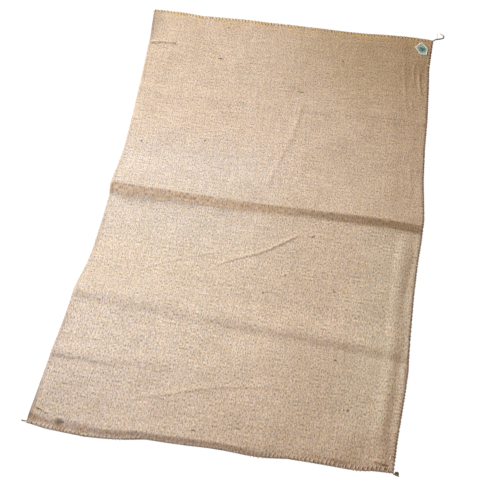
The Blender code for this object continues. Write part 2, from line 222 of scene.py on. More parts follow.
# Small creases and wrinkles of the top layer. rise is the height of the crest, lit and shaded the widths
# of its two slopes, to the left and to the right of the way along its points, and fade how far in from
# either end it reaches its height.
WRINKLES = table(
    "rise lit shaded fade points",
    # the sharp slanting wrinkle below the middle crease, and the fainter one beside it
    (0.0016, 0.009, 0.0011, 0.030, [
        (-0.068, -0.157), (-0.029, -0.133), (-0.002, -0.120), (0.015, -0.111), (0.029, -0.101),
        (0.047, -0.085), (0.088, -0.050),
    ]),
    (0.0008, 0.008, 0.0011, 0.030, [
        (-0.196, -0.187), (-0.150, -0.160), (-0.105, -0.139), (-0.083, -0.129), (-0.049, -0.117),
    ]),
    # the sharp crease at the left and the low wrinkle, in the lower quarter
    (0.0012, 0.010, 0.0016, 0.030, [
        (-0.310, -0.386), (-0.284, -0.387), (-0.240, -0.389), (-0.187, -0.393), (-0.160, -0.394),
    ]),
    (0.0009, 0.012, 0.003, 0.050, [
        (-0.142, -0.453), (-0.060, -0.423), (0.003, -0.403), (0.061, -0.395), (0.120, -0.392),
    ]),
    # the soft lengthwise crease down the middle, and a fine one that starts from it
    (0.0006, 0.022, 0.016, 0.090, [
        (0.045, -0.273), (0.034, -0.209), (0.006, -0.157), (0.000, -0.056), (0.002, 0.030),
    ]),
    (0.0008, 0.012, 0.008, 0.030, [
        (0.002, 0.040), (0.009, 0.099), (0.030, 0.198), (0.039, 0.299),
    ]),
    (0.0004, 0.004, 0.002, 0.012, [(0.009, 0.099), (0.041, 0.072), (0.075, 0.045)]),
    # pressed lines left of the middle, beside the fold and right of the middle
    (0.0005, 0.004, 0.0014, 0.060, [
        (-0.143, -0.454), (-0.148, -0.374), (-0.144, -0.288), (-0.146, -0.222), (-0.168, -0.100),
    ]),
    (0.0004, 0.005, 0.0020, 0.040, [(-0.282, -0.474), (-0.291, -0.394), (-0.288, -0.253)]),
    (0.0004, 0.005, 0.003, 0.030, [(0.193, -0.356), (0.186, -0.270), (0.179, -0.189)]),
    # the short creases near the mouth
    (0.0028, 0.010, 0.0014, 0.006, [
        (-0.318, 0.413), (-0.302, 0.416), (-0.271, 0.421), (-0.250, 0.420),
    ]),
    (0.0012, 0.008, 0.0012, 0.020, [(-0.280, 0.420), (-0.242, 0.419), (-0.154, 0.403)]),
    (0.0006, 0.006, 0.004, 0.012, [(0.081, 0.453), (0.089, 0.473), (0.098, 0.487)]),
    # crumples beside the upper part of the side seam
    (0.0005, 0.010, 0.006, 0.040, [
        (0.222, 0.470), (0.232, 0.400), (0.238, 0.330), (0.250, 0.270),
    ]),
    (0.0006, 0.004, 0.003, 0.015, [(0.250, 0.452), (0.247, 0.420), (0.252, 0.385)]),
    (0.0010, 0.006, 0.004, 0.015, [(0.259, 0.425), (0.262, 0.390), (0.270, 0.350)]),
    (0.0005, 0.005, 0.004, 0.012, [(0.244, 0.352), (0.253, 0.322), (0.256, 0.295)]),
    (0.0010, 0.006, 0.006, 0.008, [(0.246, 0.243), (0.258, 0.235), (0.273, 0.227)]),
    (0.0006, 0.008, 0.006, 0.015, [(0.246, 0.208), (0.262, 0.200), (0.276, 0.187)]),
    (0.0005, 0.005, 0.004, 0.020, [(0.262, 0.170), (0.266, 0.120), (0.274, 0.080)]),
    # creases at the bottom corners
    (0.0018, 0.005, 0.0014, 0.004, [
        (-0.301, -0.492), (-0.297, -0.494), (-0.286, -0.498), (-0.272, -0.503),
    ]),
    (0.0020, 0.006, 0.0014, 0.006, [
        (0.258, -0.499), (0.273, -0.501), (0.282, -0.505), (0.292, -0.501),
    ]),
)
WRINKLE_CURVE = 1.5
FINE_WIDTH = 0.012  # a wrinkle with a slope narrower than this gets finer faces
FINE_REACH = 0.007
FINE_CUTS = 2

# Slack swells of the cloth between its creases
SWELL_SEED = 41
SWELL_COUNT = 26
SWELL_SHORTEST = 0.060
SWELL_LONGEST = 0.220
SWELL_SLOPE = 0.005
SWELL_LEAST = 0.5  # the least height of a swell, as a share of the usual one

# The small relief starts this far in from a seam, and eases in over these lengths from a seam and the fold
RELIEF_START = 0.008
RELIEF_EASE = 0.010
RELIEF_FOLD_EASE = 0.016

# The grid of the cloth
SEAM_STRIP = 0.050  # the columns are closer together in this strip beside the side seam
SEAM_STRIP_START = 0.046
SEAM_STRIP_LINES = 14
COLUMN_STEP = 0.006
# The bottom layer hardly shows, and is coarser away from the side seam.
UNDER_LINES = [0, 0.003, 0.006, 0.010, 0.015, 0.020, 0.026, 0.034, 0.045]
UNDER_START = 0.070
UNDER_COUNT = 17
ROW_STEP = 0.006
FOLD_START = 0.590
FOLD_END = 0.610
FOLD_FLATS = 8


def smooth(share):
    """Eases from 0 to 1 as the share goes from 0 to 1, and stays there beyond."""
    share = np.clip(share, 0.0, 1.0)
    return share * share * (3 - 2 * share)


def read(rows, place, name):
    """A column of a table, read between its rows. The places are its first column."""
    return np.interp(place, [row[0] for row in rows], [getattr(row, name) for row in rows])


def edge_at(y, name):
    """The left or right edge of the sack, with its corners eased."""
    ease = 0.010
    near = [read(EDGES, y + off, name) for off in (-ease, 0, ease)]
    return (near[0] + 2 * near[1] + near[2]) / 4


def crease_line(crease, x):
    share = (x + SACK_WIDTH / 2) / SACK_WIDTH
    return crease.y_left + (crease.y_right - crease.y_left) * share


def crease_rise(crease, x, y):
    half = SACK_WIDTH / 2
    crest = np.interp(x, np.linspace(-half, half, len(crease.rises)), crease.rises)
    front = np.interp(x, np.linspace(-half, half, len(crease.fronts)), crease.fronts)
    off = y - crease_line(crease, x)
    away = np.clip(np.where(off > 0, off / crease.back, -off / front), 0, 1)
    sharp = (1 - away) ** np.where(off > 0, BACK_HOLLOW, FRONT_HOLLOW)
    return crest * (crease.round * smooth(1 - away) + (1 - crease.round) * sharp)


def creases_at(x, y):
    """The rise of the top layer and of the bottom layer."""
    top, bottom = 0.0, 0.0
    held = smooth(1 - (edge_at(y, "right") - x) / SIDE_CLOSING)
    for crease in CREASES:
        rise = crease_rise(crease, x, y)
        top = top + rise
        bottom = bottom + rise * (crease.under + (1 - crease.under) * held)
    return top, bottom


def roll_at(depth, y):
    along = smooth((ROLL_TOP - y) / ROLL_FADE) * smooth((y - ROLL_BOTTOM) / ROLL_FADE)
    roll = ROLL_RISE * smooth(1 - abs(depth - ROLL_DEPTH) / (ROLL_DEPTH - GUTTER_DEPTH))
    gutter = GUTTER_FALL * smooth(1 - abs(depth - GUTTER_DEPTH) / (GUTTER_DEPTH - SEAM_BITE))
    return along * (roll - gutter)


def rim_open(rows, place, depth, reach):
    """How far the pocket has opened so deep in from an edge."""
    start, width, share = [read(rows, place, name) for name in ("start", "width", "share")]
    slow = 1 - (1 - np.clip(depth / reach, 0, 1)) ** SLOW_CURVE
    return share * smooth((depth - start) / width) + (1 - share) * slow


def wave_at(wave, x, y):
    return wave.height * np.sin(wave.across * x + wave.along * y + wave.phase)


def waves_at(waves, x, y):
    return sum(wave_at(wave, x, y) for wave in waves)


def seam_lift(x, row, depth):
    """How far the bottom layer stands off the ground beside the seams, which lie under it."""
    side = np.clip(1 - (depth - SEAM_BITE) / (SIDE_CLOSING - SEAM_BITE), 0, 1)
    bottom = np.clip(1 - (row - BOTTOM_LINE - SEAM_BITE) / (BOTTOM_CLOSING - SEAM_BITE), 0, 1)
    side_wave = SIDE_SEAM_WAVE.height + wave_at(SIDE_SEAM_WAVE, x, row)
    bottom_wave = BOTTOM_SEAM_WAVE.height + wave_at(BOTTOM_SEAM_WAVE, x, row)
    return SEAM_LIFT * np.maximum(side, bottom) + side_wave * side + bottom_wave * bottom


def make_swells():
    """Random slight waves of the cloth."""
    dice = np.random.default_rng(SWELL_SEED)
    swells = []
    for _ in range(SWELL_COUNT):
        length = SWELL_SHORTEST * (SWELL_LONGEST / SWELL_SHORTEST) ** dice.random()
        turn = dice.random() * math.pi
        height = SWELL_SLOPE * length / (2 * math.pi) * (SWELL_LEAST + dice.random())
        across = math.cos(turn) * 2 * math.pi / length
        along = math.sin(turn) * 2 * math.pi / length
        swells.append(Wave(height, across, along, dice.random() * 2 * math.pi))
    return swells


SWELLS = make_swells()


def from_line(points, x, y):
    """Signed distance to a line of points, positive on its left, the way along it, and its length."""
    best = np.full(np.shape(x), np.inf)
    side = np.zeros(np.shape(x))
    along = np.zeros(np.shape(x))
    gone = 0.0
    for (ax, ay), (bx, by) in zip(points, points[1:]):
        length = math.hypot(bx - ax, by - ay)
        tx, ty = (bx - ax) / length, (by - ay) / length
        run = np.clip((x - ax) * tx + (y - ay) * ty, 0, length)
        off_x, off_y = x - ax - run * tx, y - ay - run * ty
        away = np.hypot(off_x, off_y)
        nearer = away < best
        best = np.where(nearer, away, best)
        side = np.where(nearer, np.sign(tx * off_y - ty * off_x), side)
        along = np.where(nearer, gone + run, along)
        gone += length
    return best * side, along, gone


def wrinkle_at(wrinkle, x, y):
    away, along, length = from_line(wrinkle.points, x, y)
    width = np.where(away > 0, wrinkle.lit, wrinkle.shaded)
    across = np.clip(1 - abs(away) / width, 0, 1) ** WRINKLE_CURVE
    ends = smooth(along / wrinkle.fade) * smooth((length - along) / wrinkle.fade)
    return wrinkle.rise * across * ends


def relief_at(x, y):
    """What the small creases, the wrinkles and the slack add to the top layer."""
    return waves_at(SWELLS, x, y) + sum(wrinkle_at(wrinkle, x, y) for wrinkle in WRINKLES)


def row_y(x, row):
    """The y at x of a row of the cloth, which follows the uneven ends and the creases."""
    near_bottom = smooth(1 - (row - BOTTOM_LINE - BOTTOM_CLOSING) / END_FADE)
    near_mouth = smooth(1 - (MOUTH_LINE - row) / END_FADE)
    y = row + near_mouth * read(MOUTH_ROWS, x, "beyond") - near_bottom * read(BOTTOM_ROWS, x, "beyond")
    for crease in CREASES:
        line = (crease.y_left + crease.y_right) / 2
        y = y + (crease_line(crease, x) - line) * smooth(1 - abs(row - line) / CREASE_PULL)
    return y


def heights(x, y, row, depth):
    """The heights of the middle of the bottom layer and of the top layer."""
    top_rise, bottom_rise = creases_at(x, y)
    reach = 0.001
    slope = (creases_at(x, y + reach)[1] - creases_at(x, y - reach)[1]) / (2 * reach)
    low = CLOTH / 2 + seam_lift(x, row, depth) + bottom_rise
    bottom_share = rim_open(BOTTOM_RIM_ROWS, x, row - BOTTOM_LINE, BOTTOM_SLOW_RISE)
    below_ridge = smooth((ROLL_TOP - y) / ROLL_FADE)
    side_reach = MOUTH_SIDE_SLOW_RISE + (SIDE_SLOW_RISE - MOUTH_SIDE_SLOW_RISE) * below_ridge
    open_share = rim_open(SIDE_RIM_ROWS, y, depth, side_reach) * bottom_share
    slack = waves_at(SLACK_WAVES, x, y)
    high = low + (CLOTH + SEAM_GAP) * np.hypot(1, slope)
    high = high + (POCKET - SEAM_GAP + slack) * open_share
    high = high + top_rise - bottom_rise + bottom_share * roll_at(depth, y)
    clear_of_edges = (
        smooth((depth - RELIEF_START) / RELIEF_EASE)
        * smooth((row - BOTTOM_LINE - RELIEF_START) / RELIEF_EASE)
        * smooth((SACK_WIDTH - depth) / RELIEF_FOLD_EASE)
    )
    return low, high + relief_at(x, y) * clear_of_edges


def carry(points):
    """From the sack's own plan to the frame."""
    return np.asarray(points, float) + np.array([*CENTRE_SHIFT, 0.0])


def lay(across, row):
    """Where points of the flat panel lie: the middle of the cloth, as an array of points."""
    across, row = np.broadcast_arrays(np.asarray(across, float), np.asarray(row, float))
    left, right = edge_at(row, "left"), edge_at(row, "right")
    low, high = heights(left, row_y(left, row), row, SACK_WIDTH)
    middle_x = left + (CLOTH + high - low) / 2
    middle_y = row_y(middle_x, row)
    low, high = heights(middle_x, middle_y, row, SACK_WIDTH)
    radius = (high - low) / 2

    depth = np.where(across < SACK_WIDTH, across, 2 * SACK_WIDTH - across)
    x = right - (right - middle_x) * np.clip(depth / FOLD_START, 0, 1)
    y = row_y(x, row)
    bottom, top = heights(x, y, row, depth)
    turn = math.pi * np.clip((across - FOLD_START) / (FOLD_END - FOLD_START), 0, 1)
    in_fold = (across > FOLD_START) & (across < FOLD_END)
    z = np.where(across < SACK_WIDTH, bottom, top)
    z = np.where(in_fold, low + radius * (1 - np.cos(turn)), z)
    return np.stack([x - radius * np.sin(turn), y, z], axis=-1)


PLACE_ROUNDS = 5  # each round comes closer to the place


def panel_place(x, y):
    """The place on the flat panel of a point of the top layer."""
    row = np.asarray(y, float)
    for _ in range(PLACE_ROUNDS):
        right, left = edge_at(row, "right"), edge_at(row, "left")
        across = 2 * SACK_WIDTH - (right - x) / (right - left) * SACK_WIDTH
        laid = lay(across, row)
        row = row + y - laid[..., 1]
        across = across + x - laid[..., 0]
    return across, row


# ---------------- meshes


def add_object(name, data):
    thing = bpy.data.objects.new(name, data)
    bpy.context.scene.collection.objects.link(thing)
    return thing


def thicken(piece, thickness):
    solidify = piece.modifiers.new("thickness", "SOLIDIFY")
    solidify.thickness = thickness
    solidify.offset = 0


def new_piece(name, vertices, faces, material):
    mesh = bpy.data.meshes.new(name)
    mesh.from_pydata([tuple(v) for v in vertices], [], [tuple(f) for f in faces])
    mesh.shade_smooth()
    mesh.materials.append(material)
    piece = add_object(name, mesh)
    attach(piece, "root")
    return piece


def ring_faces(rings, count):
    """The faces between rings of so many points."""
    faces = []
    for ring in range(rings - 1):
        for k in range(count):
            a, b = ring * count + k, ring * count + (k + 1) % count
            faces.append((a, b, b + count, a + count))
    return faces


def gone_at(points):
    """The way along a line of points to each of them."""
    return np.concatenate([[0], np.cumsum(np.linalg.norm(np.diff(points, axis=0), axis=1))])


PLIES = 2
PLY_GROOVE = 0.12  # how deep the groove between two plies is, as a share of the twine's radius


def tube(path, radius, sides, lay_length=None):
    """The vertices and faces of a closed tube. With the length of a turn of its plies it is grooved."""
    path = np.asarray(path, float)
    radius = np.broadcast_to(radius, len(path))
    way = np.gradient(path, axis=0)
    way /= np.linalg.norm(way, axis=1)[:, None]
    gone = gone_at(path)
    start = np.array([0.0, 0.0, 1.0]) if abs(way[0, 2]) < 0.9 else np.array([1.0, 0.0, 0.0])
    side = np.cross(start, way[0])
    angles = 2 * math.pi * np.arange(sides) / sides
    vertices = []
    for k, point in enumerate(path):
        side = side - way[k] * side.dot(way[k])
        side /= np.linalg.norm(side)
        up = np.cross(way[k], side)
        wide = np.full(sides, radius[k])
        if lay_length:
            twist = 2 * math.pi * gone[k] / lay_length
            wide = radius[k] * (1 - PLY_GROOVE + PLY_GROOVE * np.cos(PLIES * (angles - twist)))
        vertices.append(point + np.outer(wide * np.cos(angles), side) + np.outer(wide * np.sin(angles), up))
    vertices = np.concatenate(vertices)
    faces = ring_faces(len(path), sides)
    faces.append(tuple(range(sides - 1, -1, -1)))
    faces.append(tuple(range(len(vertices) - sides, len(vertices))))
    return vertices, faces


def joined(parts):
    """Several sets of vertices and faces as one."""
    vertices, faces, count = [], [], 0
    for some, sides in parts:
        vertices.append(some)
        faces.extend(tuple(index + count for index in side) for side in sides)
        count += len(some)
    return np.concatenate(vertices), faces


CURVE_STEPS = 20  # between two of a route's points


def through(route, spacing):
    """Points about a spacing apart on a smooth curve through the route's own points."""
    fixed = [np.array(point, float) for point in route]
    ends = [fixed[0] * 2 - fixed[1]] + fixed + [fixed[-1] * 2 - fixed[-2]]
    fine = []
    for before, start, end, after in zip(ends, ends[1:], ends[2:], ends[3:]):
        for t in np.arange(CURVE_STEPS) / CURVE_STEPS:
            bend = (before * 2 - start * 5 + end * 4 - after) * t**2
            twist = (start * 3 - before - end * 3 + after) * t**3
            fine.append((start * 2 + (end - before) * t + bend + twist) / 2)
    fine = np.array(fine + [fixed[-1]])
    gone = gone_at(fine)
    marks = np.linspace(0, gone[-1], max(2, round(gone[-1] / spacing)) + 1)
    return np.stack([np.interp(marks, gone, fine[:, axis]) for axis in range(3)], axis=-1)


# ---------------- materials

SHEEN_ROUGHNESS = 0.4
SPECULAR = 0.25


class Surface:
    """A material under construction. What its methods return is plugged into the next one."""

    def __init__(self, name, roughness, sheen=0.0):
        self.material = bpy.data.materials.new(name)
        self.material.use_nodes = True
        self.nodes = self.material.node_tree.nodes
        self.links = self.material.node_tree.links
        self.shader = self.nodes["Principled BSDF"]
        self.set("Roughness", roughness)
        self.set("Sheen Weight", sheen)
        self.set("Sheen Roughness", SHEEN_ROUGHNESS)
        self.set("Specular IOR Level", SPECULAR)

    def put(self, socket, value):
        if isinstance(value, bpy.types.NodeSocket):
            self.links.new(value, socket)
        elif socket.type == "RGBA":
            socket.default_value = (*value, 1)
        else:
            socket.default_value = value

    def set(self, name, value):
        self.put(self.shader.inputs[name], value)

    def node(self, kind, values, output=0, **settings):
        """What a new node gives out. The values go to its inputs, by their names or numbers."""
        node = self.nodes.new("ShaderNode" + kind)
        for name, setting in settings.items():
            setattr(node, name, setting)
        for place, value in values.items():
            self.put(node.inputs[place], value)
        return node.outputs[output]

    def math(self, operation, *values):
        return self.node("Math", dict(enumerate(values)), operation=operation)

    def add(self, a, b):
        return self.math("ADD", a, b)

    def take(self, a, b):
        return self.math("SUBTRACT", a, b)

    def times(self, a, b):
        return self.math("MULTIPLY", a, b)

    def scaled(self, value, low, high):
        """A value from 0 to 1, brought to the span from low to high."""
        return self.math("MULTIPLY_ADD", value, high - low, low)

    def ramp(self, value, start, end):
        """0 up to start and 1 from end on, eased between."""
        span = {"Value": value, "From Min": start, "From Max": end}
        return self.node("MapRange", span, interpolation_type="SMOOTHSTEP")

    def fade(self, value, start, end):
        """1 up to start and 0 from end on, eased between."""
        return self.take(1.0, self.ramp(value, start, end))

    def vector(self, x, y):
        return self.node("CombineXYZ", {0: x, 1: y})

    def split(self, vector):
        node = self.nodes.new("ShaderNodeSeparateXYZ")
        self.links.new(vector, node.inputs[0])
        return node.outputs[0], node.outputs[1], node.outputs[2]

    def place(self, kind):
        return self.nodes.new("ShaderNodeTexCoord").outputs[kind]

    def noise(self, vector, scale=1.0, detail=2.0, dimensions="2D"):
        values = {"Vector": vector, "Scale": scale, "Detail": detail}
        return self.node("TexNoise", values, noise_dimensions=dimensions)

    def grain(self, across, along, fine, detail=2, salt=None):
        """Noise over the plane, so fine across and along. Another salt gives another grain."""
        u, v = self.times(across, fine[0]), self.times(along, fine[1])
        return self.noise(self.vector(u, v if salt is None else self.add(v, salt)), detail=detail)

    def mix(self, share, a, b, blend="MIX"):
        return self.node("Mix", {0: share, 6: a, 7: b}, output=2, data_type="RGBA", blend_type=blend)

    def tinted(self, colour, share, a, b):
        """The colour, multiplied by a mix of two tints."""
        return self.mix(1.0, colour, self.mix(share, a, b), blend="MULTIPLY")

    def shade(self, colour, value):
        """The colour, made lighter or darker by the value."""
        return self.node("VectorMath", {0: colour, "Scale": value}, operation="SCALE")

    def finish(self, colour, height, depth, strength):
        self.set("Base Color", colour)
        self.set("Normal", self.node("Bump", {"Strength": strength, "Distance": depth, "Height": height}))
        return self.material


# The weave
PITCH = 0.0021  # from one yarn to the next
PANEL_LENGTH = MOUTH_LINE - BOTTOM_LINE
WANDER = 1.5  # how far the yarns drift from even places, in pitches
CROWDING = 0.4  # how far they crowd together, in pitches
HALF_WIDTHS = (0.30, 0.62)  # of the thinnest and the thickest yarn, in pitches
CRIMP = 0.55  # how far a yarn swings up and down, as a share of its radius
GAP_DEPTH = 1.2  # how deep the gaps between the yarns are, in the same measure
WARP_LIGHT = (0.743, 0.630, 0.507)
WARP_DARK = (0.531, 0.438, 0.338)
WEFT_LIGHT = (0.690, 0.578, 0.465)
WEFT_DARK = (0.478, 0.389, 0.300)
TONE_SPAN = (0.2, 0.8)
# Painted shade in the low places of the weave, between the yarns: the heights over which it eases out, and
# its tones
PIT_SHADE_SPAN = (-1.1, 0.3)
PAINTED_PIT_SHADE = (0.85, 1.0)

# Slow patches, and spots about as large as a float of yarn
PATCH_TONES = (0.95, 1.05)
SPOT_FINE = (520, 230)
SPOT_TONES = (1.32, 0.30)

# Fine drifts of hue
HUE_SPAN = (0.3, 0.7)
ROSY = (1.02, 0.99, 1.00)
GREENISH = (0.98, 1.01, 1.00)
WARM = (1.01, 1.00, 0.955)
COOL = (0.99, 1.00, 1.045)
WHITE = (1.0, 1.0, 1.0)

# Wide tints, one of them painted light: where each comes in and goes out along and across the flat panel
DRIFTS = table(
    "tint along_in along_out across_in across_out",
    ((1.08, 1.10, 1.16), (0.50, 0.62), None, None, (0.90, 1.12)),  # paler above, at the left
    ((0.80, 0.77, 0.68), (0.70, 1.02), None, (0.80, 1.06), None),  # browner at the mouth's right
    ((0.92, 0.92, 0.98), None, (0.10, 0.50), None, (0.60, 1.00)),  # greyer below, at the left
    # paler beside the lower part of the side seam: painted light
    ((1.05, 1.12, 1.14), (0.00, 0.12), (0.500, 0.525), (1.06, 1.14), None),  # by the lower side
    ((0.98, 1.02, 1.09), (0.36, 0.46), (0.60, 0.72), None, (0.80, 1.00)),  # cooler at mid left
)
# Painted shade along the rounded fold, darker still at its two ends
FOLD_LINE = SACK_WIDTH + 0.003
FOLD_SPAN = (0.004, 0.013)
PAINTED_FOLD_SHADE = (0.80, 0.79, 0.79)
PAINTED_FOLD_END_SHADE = (0.60, 0.60, 0.62)
FOLD_END_SHADE_TO = (0.03, 0.12)
FOLD_END_SHADE_FROM = (0.90, 1.0)
# Painted shade on the front of the middle crease: browner at the right and warmer at the left
CREASED_AT = 0.5145
CREASED_SPAN = (0.004, 0.011)
PAINTED_CREASE_SHADE = (0.80, 0.74, 0.64)
CREASED_ACROSS = (0.93, 1.10)
CREASED_LEAST = 0.15
PAINTED_WARM_CREASE_SHADE = (1.12, 1.02, 0.90)
WARMED_ACROSS = (0.90, 1.02)
# Painted shade on the outer rims over the seams, broken up in places
PAINTED_EDGE_SHADE = (0.66, 0.72, 0.82)
EDGE_SHADE_SIDE = (2 * SACK_WIDTH - 0.0040, 2 * SACK_WIDTH - 0.0015)
EDGE_SHADE_BOTTOM = (0.0010, 0.0030)
EDGE_SHADE_SPAN = (0.35, 0.60)
EDGE_SHADE_LEAST = 0.25

# Tinted patches, some of them painted light and shade: the middle of each on the flat panel, its reach
# across and along, and its tint
MARKS_AND_PAINTED_LIGHT = table(
    "across along wide high tint",
    (0.660, 0.0150, 0.010, 0.007, (0.38, 0.385, 0.39)),
    (0.664, 0.0055, 0.016, 0.008, (0.82, 0.66, 0.50)),
    (0.613, 0.0110, 0.018, 0.016, (0.86, 0.76, 0.64)),
    (0.698, 0.0060, 0.013, 0.009, (0.86, 0.75, 0.58)),
    (0.617, 0.0300, 0.012, 0.010, (0.94, 0.92, 0.80)),
    # painted shade in the deep fold gaps at the bottom-right corner
    (1.186, 0.0110, 0.008, 0.0035, (0.46, 0.34, 0.32)),
    (1.189, 0.0045, 0.006, 0.0035, (0.45, 0.35, 0.18)),
    # painted light beside the lower part of the side seam
    (1.150, 0.2150, 0.070, 0.080, (1.06, 1.08, 1.07)),
    # painted shade on the rounded fold by the mouth
    (0.602, 1.0200, 0.045, 0.110, (0.78, 0.78, 0.78)),
)
MARK_FADE_SPAN = (0.2, 1.0)

# The yellow yarns sewn along the mouth's selvedge: where each row of them comes in and goes out, as depths
# in from the mouth, and how strong it is
GOLD = (0.66, 0.50, 0.20)
GOLD_ROWS = table(
    "comes goes strength",
    ((0.002, 0.004), (0.011, 0.014), 0.80),
    ((0.016, 0.019), (0.024, 0.028), 0.35),
)
GOLD_PATCHES = (0.35, 0.65)
GOLD_SPOTS = (0.3, 1.3)


class Yarns:
    """One set of parallel yarns of a plain weave: where each runs, how thick it is and its tone."""

    def __init__(self, surface, side, along, salt):
        s = surface
        drift = s.grain(side, along, (7, 5), detail=1, salt=salt)
        crowd = s.grain(side, along, (150, 9), detail=0, salt=salt)
        uneven = s.add(s.scaled(drift, -WANDER, WANDER), s.scaled(crowd, -CROWDING, CROWDING))
        self.place = s.add(s.times(side, 1 / PITCH), uneven)
        self.index = s.math("ROUND", self.place)
        off = s.math("ABSOLUTE", s.take(self.place, self.index))
        self.tone = s.grain(self.index, along, (1.73, 25), salt=salt)
        girth = s.grain(self.index, along, (2.31, 45), detail=1, salt=salt + 9)
        half = s.scaled(girth, *HALF_WIDTHS)
        share = s.math("DIVIDE", off, half)
        self.round = s.math("SQRT", s.math("MAXIMUM", s.take(1.0, s.times(share, share)), 0.0))
        self.there = s.math("LESS_THAN", off, half)

    def raised(self, surface, other, sign):
        """The height of this set of yarns as it passes over and under the other."""
        s = surface
        turn = s.times(s.add(other.place, self.index), math.pi)
        crimp = s.times(s.math("COSINE", turn), CRIMP * sign)
        return s.add(s.times(self.there, s.add(s.add(self.round, crimp), GAP_DEPTH)), -GAP_DEPTH)


def plain_weave(s, across, along):
    """The height and the colour of a plain weave."""
    warp = Yarns(s, across, along, 0.0)
    weft = Yarns(s, along, across, 40.0)
    warp_height, weft_height = warp.raised(s, weft, 1), weft.raised(s, warp, -1)
    warp_colour = s.mix(s.ramp(warp.tone, *TONE_SPAN), WARP_DARK, WARP_LIGHT)
    weft_colour = s.mix(s.ramp(weft.tone, *TONE_SPAN), WEFT_DARK, WEFT_LIGHT)
    warp_shows = s.math("GREATER_THAN", warp_height, weft_height)
    height = s.math("MAXIMUM", warp_height, weft_height)
    return height, s.mix(warp_shows, weft_colour, warp_colour)


def drift_share(s, drift, across, along):
    """How strong a drift is, from 0 to 1."""
    steps = (
        (s.ramp, along, drift.along_in),
        (s.fade, along, drift.along_out),
        (s.ramp, across, drift.across_in),
        (s.fade, across, drift.across_out),
    )
    shares = [ease(value, *span) for ease, value, span in steps if span]
    return reduce(s.times, shares)


def tints(s, across, along):
    """The drifts, the painted shade of the fold, the crease and the rims, and the tinted patches, some of
    them painted light and shade: how strong each is, and its tint.
    """
    found = [(drift_share(s, drift, across, along), drift.tint) for drift in DRIFTS]
    # painted shade along the fold and at its ends
    fold = s.fade(s.math("ABSOLUTE", s.take(across, FOLD_LINE)), *FOLD_SPAN)
    ends = s.math("MAXIMUM", s.ramp(along, *FOLD_END_SHADE_FROM), s.fade(along, *FOLD_END_SHADE_TO))
    found += [(fold, PAINTED_FOLD_SHADE), (s.times(fold, ends), PAINTED_FOLD_END_SHADE)]
    # painted shade on the front of the middle crease
    crease = s.fade(s.math("ABSOLUTE", s.take(along, CREASED_AT)), *CREASED_SPAN)
    creased = s.times(crease, s.scaled(s.ramp(across, *CREASED_ACROSS), CREASED_LEAST, 1.0))
    found += [(creased, PAINTED_CREASE_SHADE), (s.times(crease, s.fade(across, *WARMED_ACROSS)), PAINTED_WARM_CREASE_SHADE)]
    # painted shade on the outer rims over the seams
    rim = s.math("MAXIMUM", s.ramp(across, *EDGE_SHADE_SIDE), s.fade(along, *EDGE_SHADE_BOTTOM))
    shade_breaks = s.ramp(s.noise(s.vector(across, along), scale=60), *EDGE_SHADE_SPAN)
    found.append((s.times(rim, s.scaled(shade_breaks, EDGE_SHADE_LEAST, 1.0)), PAINTED_EDGE_SHADE))
    # tinted patches, some of them painted light and shade
    for patch_or_light in MARKS_AND_PAINTED_LIGHT:
        off_across = s.times(s.take(across, patch_or_light.across), 1 / patch_or_light.wide)
        off_along = s.times(s.take(along, patch_or_light.along), 1 / patch_or_light.high)
        away = s.math("SQRT", s.add(s.times(off_across, off_across), s.times(off_along, off_along)))
        found.append((s.fade(away, *MARK_FADE_SPAN), patch_or_light.tint))
    return found


def gold_share(s, across, along):
    """How much of the cloth's colour is the yellow yarns'."""
    inside = s.take(PANEL_LENGTH, along)
    patchy = s.ramp(s.grain(across, along, (28, 60)), *GOLD_PATCHES)
    spotty = s.times(s.scaled(s.grain(across, along, (120, 400)), *GOLD_SPOTS), patchy)
    rows = []
    for row in GOLD_ROWS:
        band = s.times(s.ramp(inside, *row.comes), s.fade(inside, *row.goes))
        rows.append(s.times(band, row.strength))
    return s.math("MINIMUM", s.times(reduce(s.add, rows), spotty), 1.0)


def make_hessian():
    s = Surface("hessian", roughness=0.9, sheen=0.03)
    across, along, _ = s.split(s.place("UV"))
    height, colour = plain_weave(s, across, along)

    # the tone changes from one float of yarn to the next, and there are slow drifts of tone and hue
    patches = s.noise(s.vector(across, along), scale=9, detail=3)
    spots = s.grain(across, along, SPOT_FINE, detail=0)
    tone = s.times(s.scaled(patches, *PATCH_TONES), s.scaled(s.times(spots, spots), *SPOT_TONES))
    hue = s.noise(s.vector(across, along), scale=110, detail=3)
    warmth = s.noise(s.vector(along, across), scale=70, detail=3)
    colour = s.tinted(colour, s.ramp(hue, *HUE_SPAN), ROSY, GREENISH)
    colour = s.tinted(colour, s.ramp(warmth, *HUE_SPAN), WARM, COOL)
    # the tints, some of them painted light and shade
    for share, tint in tints(s, across, along):
        colour = s.tinted(colour, share, WHITE, tint)

    # the low places between the yarns are darker: painted shade
    shade = s.times(tone, s.scaled(s.ramp(height, *PIT_SHADE_SPAN), *PAINTED_PIT_SHADE))
    colour = s.mix(gold_share(s, across, along), s.shade(colour, shade), s.shade(GOLD, shade))
    return s.finish(colour, height, depth=0.00035, strength=0.15)


